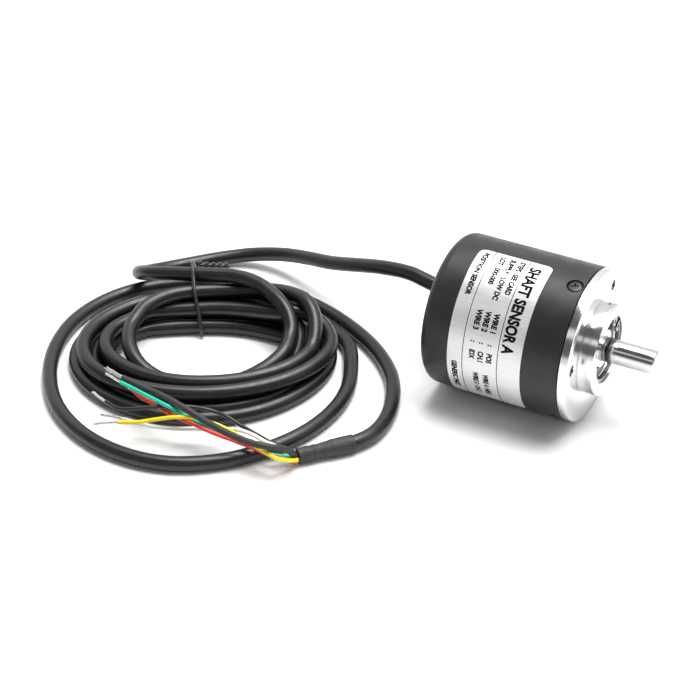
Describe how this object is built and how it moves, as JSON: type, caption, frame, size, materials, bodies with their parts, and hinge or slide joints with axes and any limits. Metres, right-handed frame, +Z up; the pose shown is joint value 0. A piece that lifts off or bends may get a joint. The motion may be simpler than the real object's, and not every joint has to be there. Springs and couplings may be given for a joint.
{
  "type": "incremental rotary encoder",
  "caption": "Cylindrical solid-shaft rotary encoder with a round clamping flange and an axial cable, coiled and tied, ending in a sleeve and open leads.",
  "frame": {"origin": "under the middle of the encoder without its cable, on the surface it lies on", "axes": "+X along the shaft towards its free end; +Z up with the encoder lying on its side; the axis is at z = 25 mm and the flange's mounting face at x = 17.35 mm"},
  "size_m": [0.1962, 0.1237, 0.0501],
  "materials": {
    "black_coat": "satin, finely textured",
    "machined_aluminium": "turned, bright",
    "steel": "ground and polished",
    "pressed_steel": "pressed sheet",
    "blackened_steel": "blackened",
    "brass": "turned",
    "disc_glass": "clear",
    "clear_resin": "clear",
    "rubber": "matte",
    "board_laminate": "solder mask",
    "black_plastic": "matte",
    "nylon": "matte",
    "label_foil": "brushed, printed in black",
    "cable_jacket": "matte PVC",
    "shrink_tube": "shrunk, wrinkled",
    "lead_green": "smooth PVC",
    "lead_red": "smooth PVC",
    "lead_yellow": "smooth PVC",
    "lead_white": "smooth PVC",
    "lead_black": "smooth PVC",
    "tie_coat": "plastic-coated wire"
  },
  "bodies": {
    "encoder": {"housing_cover": "black_coat", "front_flange": "machined_aluminium", "cover_screw_1": "blackened_steel", "cover_screw_2": "blackened_steel", "cover_screw_3": "blackened_steel", "cover_o_ring": "rubber", "bearing_circlip": "steel", "front_bearing_outer_ring": "steel", "rear_bearing_outer_ring": "steel", "front_bearing_shield": "pressed_steel", "wave_washer": "steel", "bearing_spacer": "steel", "led_bracket": "black_plastic", "led_emitter": "clear_resin", "collimator_lens": "clear_resin", "reticle_plate": "disc_glass", "photodetector": "black_plastic", "sensor_board": "board_laminate", "board_post_1": "brass", "board_post_2": "brass", "board_post_3": "brass", "board_screw_1": "steel", "board_screw_2": "steel", "board_screw_3": "steel", "line_driver_ic": "black_plastic", "capacitor": "steel", "wire_header": "nylon", "cable_gland": "rubber", "cable_inner_end": "cable_jacket", "rating_label": "label_foil", "cable_run": "cable_jacket", "cable_coil": "cable_jacket", "cable_tail": "cable_jacket", "heat_shrink_sleeve": "shrink_tube", "shield_lead": "shrink_tube", "lead_green": "lead_green", "lead_red": "lead_red", "lead_yellow": "lead_yellow", "lead_white": "lead_white", "lead_black": "lead_black", "twist_tie": "tie_coat", "twist_tie_twist": "tie_coat"},
    "rotor": {"shaft": "steel", "front_bearing_inner_ring": "steel", "rear_bearing_inner_ring": "steel", "disc_hub": "brass", "hub_set_screw": "blackened_steel", "code_disc": "disc_glass", "disc_clamp_ring": "brass"},
    "front_cage": {"front_bearing_ball_cage": "brass"},
    "rear_cage": {"rear_bearing_ball_cage": "brass"}
  },
  "joints": [
    {"name": "shaft_spin", "type": "hinge", "parent": "encoder", "child": "rotor", "pos_m": [0, 0, 0.025], "axis": [1, 0, 0], "continuous": true},
    {"name": "front_cage_spin", "type": "hinge", "parent": "encoder", "child": "front_cage", "pos_m": [0.01675, 0, 0.025], "axis": [1, 0, 0], "continuous": true},
    {"name": "rear_cage_spin", "type": "hinge", "parent": "encoder", "child": "rear_cage", "pos_m": [0.00685, 0, 0.025], "axis": [1, 0, 0], "continuous": true}
  ],
  "couplings": [
    {"joint": "front_cage_spin", "follows": "shaft_spin", "ratio": 0.3677},
    {"joint": "rear_cage_spin", "follows": "shaft_spin", "ratio": 0.3677}
  ]
}
